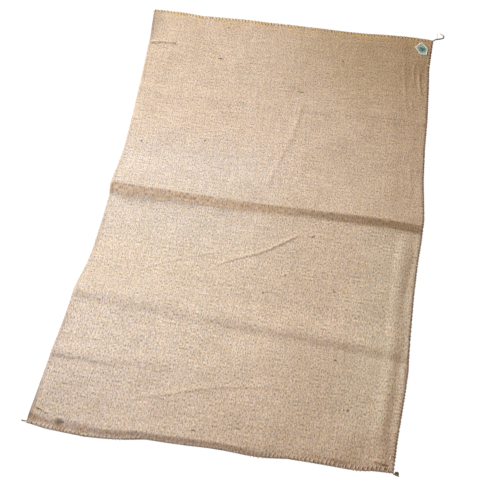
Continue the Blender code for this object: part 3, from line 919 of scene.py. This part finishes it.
# Twines, bits of fibre and a strand of painted shadow: the two colours that each varies between
Twine = namedtuple("Twine", "light dark")
TWINES = {
    "loose_twine": Twine((0.31, 0.275, 0.22), (0.15, 0.13, 0.10)),
    "tail_fluff": Twine((0.38, 0.355, 0.31), (0.18, 0.165, 0.14)),
    "seam_twine": Twine((0.79, 0.70, 0.60), (0.49, 0.425, 0.35)),
    "mouth_thread": Twine((0.66, 0.55, 0.42), (0.38, 0.31, 0.23)),
    "dark_flecks": Twine((0.34, 0.25, 0.17), (0.18, 0.13, 0.09)),
    "crease_shadow_strand": Twine((0.46, 0.35, 0.24), (0.30, 0.22, 0.15)),
    "pale_flecks": Twine((0.98, 0.92, 0.82), (0.85, 0.76, 0.65)),
    "green_flecks": Twine((0.28, 0.36, 0.22), (0.16, 0.22, 0.13)),
}
TWINE_TONES = 420
TWINE_FIBRES = 1680
TWINE_PATCHES = 40


def make_twine(name):
    s = Surface(name, roughness=0.85, sheen=0.2)
    place = s.place("Object")
    tone = s.noise(place, scale=TWINE_TONES, detail=3, dimensions="3D")
    slow = s.noise(place, scale=TWINE_PATCHES, detail=1, dimensions="3D")
    colour = s.mix(s.ramp(tone, 0.3, 0.7), TWINES[name].dark, TWINES[name].light)
    colour = s.shade(colour, s.scaled(slow, 0.85, 1.15))
    fibres = s.noise(place, scale=TWINE_FIBRES, detail=2, dimensions="3D")
    return s.finish(colour, fibres, depth=0.00015, strength=0.6)


# ---------------- stage, light and camera

CAMERA_PLACE = (0.2368, -1.5180, 1.7560)
CAMERA_AIM = (-0.0092, -0.0850, 0.0)
CAMERA_LENS = 91.8
SENSOR_WIDTH = 36

SKY_COLOUR = (1.0, 0.47, 0.10)
SKY_STRENGTH = 0.276
FLOOR_SIZE = 60
PAPER = (0.02, 0.02, 0.02)

LAMPS = table(
    "name place size power colour",
    ("near", (-0.35, -0.28, 0.66), 0.4, 4.26, (0.755, 0.885, 1.0)),
    ("rake", (-2.05, 1.65, 1.06), 0.9, 82.7, (0.995, 1.0, 0.945)),
)


def aimed(way):
    return way.to_track_quat("-Z", "Y").to_euler()


def make_camera():
    data = bpy.data.cameras.new("camera")
    data.sensor_width = SENSOR_WIDTH
    data.lens = CAMERA_LENS
    camera = add_object("camera", data)
    camera.location = CAMERA_PLACE
    camera.rotation_euler = aimed(Vector(CAMERA_AIM) - camera.location)
    bpy.context.scene.camera = camera


def make_lamp(lamp):
    """A square lamp that points at the middle of the floor."""
    data = bpy.data.lights.new(lamp.name, "AREA")
    data.shape = "SQUARE"
    data.size = lamp.size
    data.energy = lamp.power
    data.color = lamp.colour
    holder = add_object(lamp.name, data)
    holder.location = lamp.place
    holder.rotation_euler = aimed(-Vector(lamp.place))


def make_stage():
    bpy.context.scene.view_settings.view_transform = "Standard"
    world = bpy.data.worlds.new("studio")
    bpy.context.scene.world = world
    world.use_nodes = True
    sky = world.node_tree.nodes["Background"]
    sky.inputs["Color"].default_value = (*SKY_COLOUR, 1)
    sky.inputs["Strength"].default_value = SKY_STRENGTH
    for lamp in LAMPS:
        make_lamp(lamp)

    s = Surface("paper", roughness=1.0)
    s.set("Emission Color", WHITE)
    s.set("Emission Strength", 1.0)
    s.set("Base Color", PAPER)
    bpy.ops.mesh.primitive_plane_add(size=FLOOR_SIZE)
    floor = bpy.context.object
    floor.name = "floor"
    floor.data.materials.append(s.material)


# ---------------- pieces

# The length of a turn of the twine's plies, in the loose ends, the stitches and the knot
LOOSE_LAY = 0.007
STITCH_LAY = 0.006
KNOT_LAY = 0.005
TAIL_STEP = 0.0009
TAIL_TAPER_AT = [0, 0.65, 1]
TAIL_TAPER = [1.05, 1.0, 0.55]


def make_tail(material):
    """The loose end of the side seam's twine."""
    route = carry(through(TAIL_ROUTE, TWINE))
    fine = carry(through(TAIL_ROUTE, TAIL_STEP))
    radius = TWINE / 2 * np.interp(np.linspace(0, 1, len(fine)), TAIL_TAPER_AT, TAIL_TAPER)
    shape = tube(fine, radius, sides=10, lay_length=LOOSE_LAY)
    tail = new_piece("tail_twine", *shape, material)
    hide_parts("seam_tail")


def panel_lines():
    """The across and row lines of the cloth's grid."""
    bottom = UNDER_LINES + list(np.linspace(UNDER_START, FOLD_START, UNDER_COUNT))
    fold = list(np.linspace(FOLD_START, FOLD_END, FOLD_FLATS + 1)[1:])
    count = round((FOLD_START - SEAM_STRIP) / COLUMN_STEP)
    top = list(np.linspace(FOLD_END, 2 * SACK_WIDTH - SEAM_STRIP, count)[1:])
    top += list(2 * SACK_WIDTH - np.linspace(SEAM_STRIP_START, 0, SEAM_STRIP_LINES))
    ridge = (CREASES[0].y_left + CREASES[0].y_right) / 2
    spans = [
        (BOTTOM_LINE, BOTTOM_LINE + 0.024, 0.0020),
        (BOTTOM_LINE + 0.024, ridge - 0.030, ROW_STEP),
        (ridge - 0.030, ridge - 0.010, 0.0025),
        (ridge - 0.010, ridge, 0.0014),
        (ridge, ridge + 0.012, 0.0020),
        (ridge + 0.012, MOUTH_LINE - 0.030, ROW_STEP),
        (MOUTH_LINE - 0.030, MOUTH_LINE, 0.0035),
    ]
    rows = [BOTTOM_LINE]
    for start, end, step in spans:
        rows += list(np.linspace(start, end, round((end - start) / step) + 1)[1:])
    return bottom + fold + top, rows


def make_cloth():
    columns, rows = panel_lines()
    flat = bmesh.new()
    grid = [[flat.verts.new((across, row, 0)) for row in rows] for across in columns]
    for i in range(len(columns) - 1):
        for j in range(len(rows) - 1):
            flat.faces.new((grid[i][j], grid[i + 1][j], grid[i + 1][j + 1], grid[i][j + 1]))

    # finer faces along the sharp wrinkles
    flat.faces.ensure_lookup_table()
    middles = np.array([face.calc_center_median() for face in flat.faces])
    laid = lay(middles[:, 0], middles[:, 1])
    near = np.zeros(len(middles), bool)
    for wrinkle in WRINKLES:
        if min(wrinkle.lit, wrinkle.shaded) < FINE_WIDTH:
            away, _, _ = from_line(wrinkle.points, laid[:, 0], laid[:, 1])
            near |= (abs(away) < FINE_REACH) & (middles[:, 0] > FOLD_END)
    edges = {edge for face, fine in zip(flat.faces, near) if fine for edge in face.edges}
    bmesh.ops.subdivide_edges(flat, edges=list(edges), cuts=FINE_CUTS, use_grid_fill=True)

    uv = flat.loops.layers.uv.new("flat")
    for face in flat.faces:
        for loop in face.loops:
            loop[uv].uv = (loop.vert.co.x, loop.vert.co.y - BOTTOM_LINE)
    panel = np.array([vertex.co for vertex in flat.verts])
    places = carry(lay(panel[:, 0], panel[:, 1]))
    for vertex, place in zip(flat.verts, places):
        vertex.co = place
    mesh = bpy.data.meshes.new("sack_panel")
    flat.to_mesh(mesh)
    flat.free()
    mesh.shade_smooth()
    mesh.materials.append(make_hessian())
    cloth = add_object("sack_panel", mesh)
    thicken(cloth, CLOTH)
    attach(cloth, "root")
    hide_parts("sack_cloth")


# Twine that winds round a cloth edge: from one turn to the next, how far it bites in from the edge and how
# far it stands out beyond it, and its radius under and over the cloth.
Stitch = namedtuple("Stitch", "pitch bite out low_radius top_radius")
SEAM_STITCH = Stitch(0.0065, 0.0080, 0.0006, 0.00055, 0.00080)
MOUTH_STITCH = Stitch(0.0070, 0.0070, 0.0008, 0.00050, 0.00075)
TURN_STEPS = 14
PITCH_SCATTER = 0.0010
BITE_SCATTER = 0.0013
STITCH_STAND = 0.45  # how high the middle of a seam's stitch lies over the cloth, in its own radii
THREAD_STAND = 0.7  # the same of the mouth's thread
# How far the turns keep from the ends of their edge, and how much shorter than its edge the bottom seam is
SIDE_SEAM_END = 0.002
BOTTOM_SEAM_END = 0.004
BOTTOM_SEAM_SHORTER = 0.010
MOUTH_END = 0.004


def winding(stitch, length, seed):
    """The way along the edge, the depth in from it, the side from -1 under the cloth to 1 over it, and the
    radius, at each step of the turns."""
    dice = np.random.default_rng(seed)
    turns = round(length / stitch.pitch)
    turn = np.arange(turns * TURN_STEPS + 1) / TURN_STEPS
    numbers = np.arange(turns + 2)
    bites = numbers * stitch.pitch + dice.normal(0, PITCH_SCATTER, turns + 2)
    reach = stitch.bite + dice.normal(0, BITE_SCATTER, turns + 2)
    along = np.clip(np.interp(turn, numbers, bites), 0, length)
    angle = 2 * math.pi * turn
    depth = np.interp(turn, numbers, reach) * (1 - np.cos(angle)) / 2
    depth -= stitch.out * (1 + np.cos(angle)) / 2
    side = np.sign(np.sin(angle)) * abs(np.sin(angle)) ** 0.5
    radius = stitch.low_radius + (stitch.top_radius - stitch.low_radius) * (1 + side) / 2
    return along, depth, side, radius


def new_stitches(name, places, radius, material):
    shape = tube(carry(places), radius, sides=7, lay_length=STITCH_LAY)
    return new_piece(name, *shape, material)


def seam_places(low, high, side, radius):
    """Round two layers of cloth, given the middles of both."""
    top = high[:, 2] + CLOTH / 2 + radius * STITCH_STAND
    bottom = np.maximum(low[:, 2] - CLOTH / 2 - radius, radius)
    places = (low + high) / 2
    places[:, 2] = (top + bottom) / 2 + (top - bottom) / 2 * side
    return places


def make_side_stitches(material):
    along, depth, side, radius = winding(SEAM_STITCH, PANEL_LENGTH - 2 * SIDE_SEAM_END, 5)
    inside = np.maximum(depth, 0)
    row = BOTTOM_LINE + SIDE_SEAM_END + along
    places = seam_places(lay(inside, row), lay(2 * SACK_WIDTH - inside, row), side, radius)
    places[:, 0] += np.maximum(-depth, 0)
    stitches = new_stitches("side_stitches", places, radius, material)
    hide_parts("side_seam")


def make_bottom_stitches(material):
    along, depth, side, radius = winding(SEAM_STITCH, SACK_WIDTH - BOTTOM_SEAM_SHORTER, 6)
    across = SACK_WIDTH - BOTTOM_SEAM_END - along
    row = BOTTOM_LINE + np.maximum(depth, 0)
    places = seam_places(lay(across, row), lay(2 * SACK_WIDTH - across, row), side, radius)
    places[:, 1] -= np.maximum(-depth, 0)
    stitches = new_stitches("bottom_stitches", places, radius, material)
    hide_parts("bottom_seam")


def make_mouth_stitches(material):
    """The thread that winds round the mouth's edge, all the way round the mouth."""
    along, depth, side, radius = winding(MOUTH_STITCH, 2 * SACK_WIDTH - 2 * MOUTH_END, 7)
    across = MOUTH_END + along
    row = MOUTH_LINE - np.maximum(depth, 0)
    step = 0.001
    way = lay(across + step, row) - lay(across - step, row)
    up = np.cross(way, lay(across, row) - lay(across, row - step))
    up /= np.linalg.norm(up, axis=1)[:, None]
    places = lay(across, row) + up * ((CLOTH / 2 + radius * THREAD_STAND) * side)[:, None]
    places[:, 1] += np.maximum(-depth, 0)
    places[:, 2] = np.maximum(places[:, 2], radius)
    stitches = new_stitches("mouth_stitches", places, radius, material)


LABEL_THICKNESS = 0.0008
LABEL_STAND = 0.0011
LABEL_RINGS = [0, 0.0006, 0.0014, 0.0022, 0.0027, 0.0040, 0.0055, 0.0070, 0.0085]
LABEL_HEM = 4  # so many of the outer rings of faces are the hem
LABEL_STEP = 0.0012
LABEL_HEM_RISE = 0.0003
# Its free side, away from the seam, rises from a little right of its middle
LABEL_FREE_FROM = 0.004
LABEL_FREE_SPAN = 0.014
LABEL_FREE_RISE = 0.0008

HEM_LIGHT = (0.94, 0.98, 1.0)
HEM_DARK = (0.76, 0.81, 0.84)
HEM_RIB = 0.0007
LABEL_PALE = (0.43, 0.78, 0.86)
LABEL_TEAL = (0.01, 0.11, 0.125)
LABEL_THREAD = 0.0005
# The ornament: a disc, a ring of petals and a thin ring, with the radii between which each edge is eased
DISC_EDGE = (0.0016, 0.0020)
PETAL_COUNT = 8
PETAL_FEET = (0.0024, 0.0028)
PETAL_REACH = (0.0052, 0.0064)  # the mean reach of the petals' outline, and its furthest
RING_INSIDE = (0.0070, 0.0073)
RING_OUTSIDE = (0.0080, 0.0083)


def make_label():
    """The white cloth label, with a raised hem round a pale field that bears a plain ornament."""
    sewn = [(edge_at(y, "right") - SEAM_STITCH.bite, y) for y in LABEL_SEWN_EDGE]
    corners = np.array(LABEL_CORNERS + sewn, float)
    middle = corners.mean(axis=0)
    outline = []
    for start, end in zip(corners, np.roll(corners, -1, axis=0)):
        count = max(2, round(np.linalg.norm(end - start) / LABEL_STEP))
        outline += [start + (end - start) * k / count for k in range(count)]
    outline = np.array(outline)
    reach = np.linalg.norm(outline - middle, axis=1)
    inward = (middle - outline) / reach[:, None]
    further = (reach / reach.min())[:, None]
    plan = np.concatenate([outline + inward * ring * further for ring in LABEL_RINGS] + [[middle]])
    depth = np.concatenate([np.repeat(LABEL_RINGS, len(outline)), [LABEL_RINGS[-1]]])
    across, row = panel_place(plan[:, 0], plan[:, 1])
    z = lay(across, row)[:, 2] + LABEL_STAND
    z += LABEL_HEM_RISE * np.sin(math.pi * np.clip(depth / LABEL_RINGS[LABEL_HEM], 0, 1))
    free = np.clip((middle[0] + LABEL_FREE_FROM - plan[:, 0]) / LABEL_FREE_SPAN, 0, 1)
    z += LABEL_FREE_RISE * free**2
    count = len(outline)
    faces = ring_faces(len(LABEL_RINGS), count)
    last = (len(LABEL_RINGS) - 1) * count
    faces += [(last + k, last + (k + 1) % count, len(plan) - 1) for k in range(count)]
    vertices = carry(np.column_stack([plan, z]))
    label = new_piece("label_patch", vertices, [face[::-1] for face in faces], make_label_hem())
    label.data.materials.append(make_label_field())
    uv = label.data.uv_layers.new(name="flat")
    for face in label.data.polygons:
        face.material_index = int(face.index >= LABEL_HEM * count)
        for corner in face.loop_indices:
            uv.data[corner].uv = plan[label.data.loops[corner].vertex_index] - middle
    thicken(label, LABEL_THICKNESS)
    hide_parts("label")


def make_label_hem():
    s = Surface("label_hem", roughness=0.75, sheen=0.2)
    across, along, _ = s.split(s.place("UV"))
    ribs = s.math("SINE", s.times(s.add(across, along), 2 * math.pi / HEM_RIB))
    tone = s.noise(s.vector(across, along), scale=900, detail=2)
    colour = s.mix(s.ramp(tone, 0.3, 0.75), HEM_DARK, HEM_LIGHT)
    return s.finish(colour, s.add(s.times(ribs, 0.4), tone), depth=0.0002, strength=0.7)


def make_label_field():
    """A pale woven field with a rosette: a disc, a ring of eight petals and a thin ring round them."""
    s = Surface("label_field", roughness=0.7, sheen=0.1)
    across, along, _ = s.split(s.place("UV"))
    place = s.vector(across, along)
    radius = s.math("SQRT", s.add(s.times(across, across), s.times(along, along)))
    turn = s.math("ARCTAN2", along, across)
    petal = s.scaled(s.math("COSINE", s.times(turn, PETAL_COUNT)), *PETAL_REACH)
    disc = s.fade(radius, *DISC_EDGE)
    petals = s.times(s.ramp(radius, *PETAL_FEET), s.math("LESS_THAN", radius, petal))
    ring = s.times(s.ramp(radius, *RING_INSIDE), s.fade(radius, *RING_OUTSIDE))
    mark = s.math("MINIMUM", s.add(s.add(disc, petals), ring), 1.0)
    fine = 2 * math.pi / LABEL_THREAD
    threads = s.times(s.math("SINE", s.times(across, fine)), s.math("SINE", s.times(along, fine)))
    tone = s.noise(place, scale=700, detail=2)
    colour = s.mix(mark, LABEL_PALE, LABEL_TEAL)
    colour = s.shade(colour, s.add(s.scaled(tone, 0.7, 1.3), s.times(threads, 0.08)))
    return s.finish(colour, threads, depth=0.00012, strength=0.6)


# Bits of coarse or stray fibre in the weave, and a strand of painted shadow: the middle of each in plan,
# its length and its turn
DARK_FLECKS = table(
    "x y length turn",
    (-0.151, 0.490, 0.006, 1.4),
    (-0.150, 0.391, 0.012, 0.1),
    (0.101, 0.425, 0.005, 0.4),
    (0.034, -0.198, 0.005, 1.2),
    (0.157, -0.174, 0.005, 0.2),
    (0.104, -0.055, 0.006, 0.6),
    (-0.108, 0.254, 0.005, 1.5),
    (-0.137, 0.152, 0.005, 0.0),
    (-0.259, 0.131, 0.006, 0.8),
    (-0.033, -0.493, 0.006, 0.3),
    (0.067, -0.153, 0.004, 1.5),
    (0.177, -0.318, 0.005, 0.1),
    (0.209, -0.413, 0.005, 1.4),
    (0.281, 0.271, 0.007, 1.5),
)
# A dark strand along the crease at the bottom-left corner: painted shadow of the crease
CREASE_SHADOW_STRAND = table("x y length turn", (-0.2905, -0.4945, 0.017, -0.36))
PALE_FLECKS = table(
    "x y length turn",
    (0.202, -0.412, 0.006, 1.5),
    (0.178, -0.150, 0.005, 0.3),
    (0.288, -0.487, 0.010, 1.5),
)
GREEN_FLECKS = table("x y length turn", (0.027, 0.320, 0.015, 0.0))
STRAND_RADIUS = 0.0009
STRAND_STEPS = 7
STRAND_STAND = 0.2  # how high the middle of a strand lies over the cloth, in its own radii


def make_strands_on_cloth(name, strand_rows):
    """Short bits of fibre, and a strand of painted shadow, that lie on the top layer."""
    parts = []
    for strand in strand_rows:
        run = np.linspace(-0.5, 0.5, STRAND_STEPS) * strand.length
        x, y = strand.x + run * math.cos(strand.turn), strand.y + run * math.sin(strand.turn)
        places = lay(*panel_place(x, y))
        places[:, 2] += CLOTH / 2 + STRAND_RADIUS * STRAND_STAND
        radius = STRAND_RADIUS * np.sqrt(1 - np.linspace(-0.95, 0.95, STRAND_STEPS) ** 2)
        parts.append(tube(carry(places), radius, sides=7))
    piece = new_piece(name, *joined(parts), make_twine(name))


FIBRE_SEED = 11
FIBRE_COUNT = 250
FIBRE_RADIUS = 0.00022
FIBRE_STARTS = (1.7, 2.3)  # the two numbers of the beta curve that spreads the fibres along the tail
FIBRE_POINTS = (5, 9)  # a fibre follows 5 to 8 points of the tail
FIBRE_STAND = (0.0008, 0.0021)  # how far its end stands off the tail
FIBRE_SCATTER = (1, 1, 0.4)
WISP_RADIUS = 0.00035
WISP_STEP = 0.0010
WISP = [
    (0.2890, 0.5370, 0.0012),
    (0.2890, 0.5440, 0.0008),
    (0.2880, 0.5490, 0.0006),
    (0.2890, 0.5540, 0.0004),
]


def make_fluff():
    """The fibres that fray from the loose end of the side seam's twine."""
    dice = np.random.default_rng(FIBRE_SEED)
    route = through(TAIL_ROUTE, TAIL_STEP)
    parts = [tube(carry(through(WISP, WISP_STEP)), WISP_RADIUS, sides=5)]
    for _ in range(FIBRE_COUNT):
        start = int((len(route) - FIBRE_POINTS[1]) * dice.beta(*FIBRE_STARTS))
        run = route[start : start + dice.integers(*FIBRE_POINTS)]
        away = dice.normal(0, 1, 3) * FIBRE_SCATTER
        away *= dice.uniform(*FIBRE_STAND) / np.linalg.norm(away)
        points = run + away * np.linspace(0.3, 1, len(run))[:, None]
        points[:, 2] = np.maximum(points[:, 2], FIBRE_RADIUS)
        parts.append(tube(carry(points), FIBRE_RADIUS, sides=4))
    fluff = new_piece("tail_fluff", *joined(parts), make_twine("tail_fluff"))


STUB_END_RADIUS = 0.0014  # the cut end has come a little undone
STUB_STEP = 0.0008


def make_stub(material):
    """The cut end of the bottom seam's twine."""
    fine = carry(through(STUB_ROUTE, STUB_STEP))
    radius = np.linspace(TWINE / 2, STUB_END_RADIUS, len(fine))
    fine[:, 2] = np.maximum(fine[:, 2], radius)
    shape = tube(fine, radius, sides=10, lay_length=LOOSE_LAY)
    stub = new_piece("stub_twine", *shape, material)
    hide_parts("bottom_stub")


KNOT_LOOPS = 3
KNOT_RADIUS = 0.0026
KNOT_TWINE_RADIUS = 0.00125
KNOT_STEPS = 90
KNOT_SWING = (0.72, 0.30)
KNOT_STRETCH = 1.10
KNOT_HALF_HEIGHT = 0.0018
KNOT_END_STEP = 0.0006
# The twine's way into the knot and its cut end, about the knot's middle
KNOT_LEAD = [(-0.0052, -0.0010, -0.0008), (-0.0036, -0.0008, -0.0002), (-0.0020, 0.0, 0.0)]
KNOT_END = [(0.0008, -0.0008, 0.0), (0.0024, -0.0020, -0.0004), (0.0034, -0.0040, -0.0014)]


def make_knot(material):
    """The knot at the corner: twine wound round itself, with its cut end sticking out."""
    centre = np.array(KNOT_PLACE)
    turn = np.linspace(0, 2 * math.pi, KNOT_STEPS, endpoint=False)
    swing = KNOT_RADIUS * (KNOT_SWING[0] + KNOT_SWING[1] * np.cos(KNOT_LOOPS * turn))
    x = swing * np.cos(2 * turn)
    y = swing * np.sin(2 * turn) * KNOT_STRETCH
    ball = np.stack([x, y, KNOT_HALF_HEIGHT * np.sin(KNOT_LOOPS * turn)], axis=-1)
    ball = np.concatenate([ball, ball[:1]])
    strands = [through(KNOT_LEAD, KNOT_END_STEP), ball, through(KNOT_END, KNOT_END_STEP)]
    parts = [tube(carry(at + centre), KNOT_TWINE_RADIUS, sides=9, lay_length=KNOT_LAY) for at in strands]
    knot = new_piece("knot_twine", *joined(parts), material)
    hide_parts("bottom_knot")


make_camera()
loose_twine = make_twine("loose_twine")
make_tail(loose_twine)
make_stage()
make_cloth()
seam_twine = make_twine("seam_twine")
make_side_stitches(seam_twine)
make_bottom_stitches(seam_twine)
make_mouth_stitches(make_twine("mouth_thread"))
make_label()
make_strands_on_cloth("dark_flecks", DARK_FLECKS)
make_strands_on_cloth("crease_shadow_strand", CREASE_SHADOW_STRAND)
make_strands_on_cloth("pale_flecks", PALE_FLECKS)
make_strands_on_cloth("green_flecks", GREEN_FLECKS)
make_fluff()
make_stub(loose_twine)
make_knot(loose_twine)
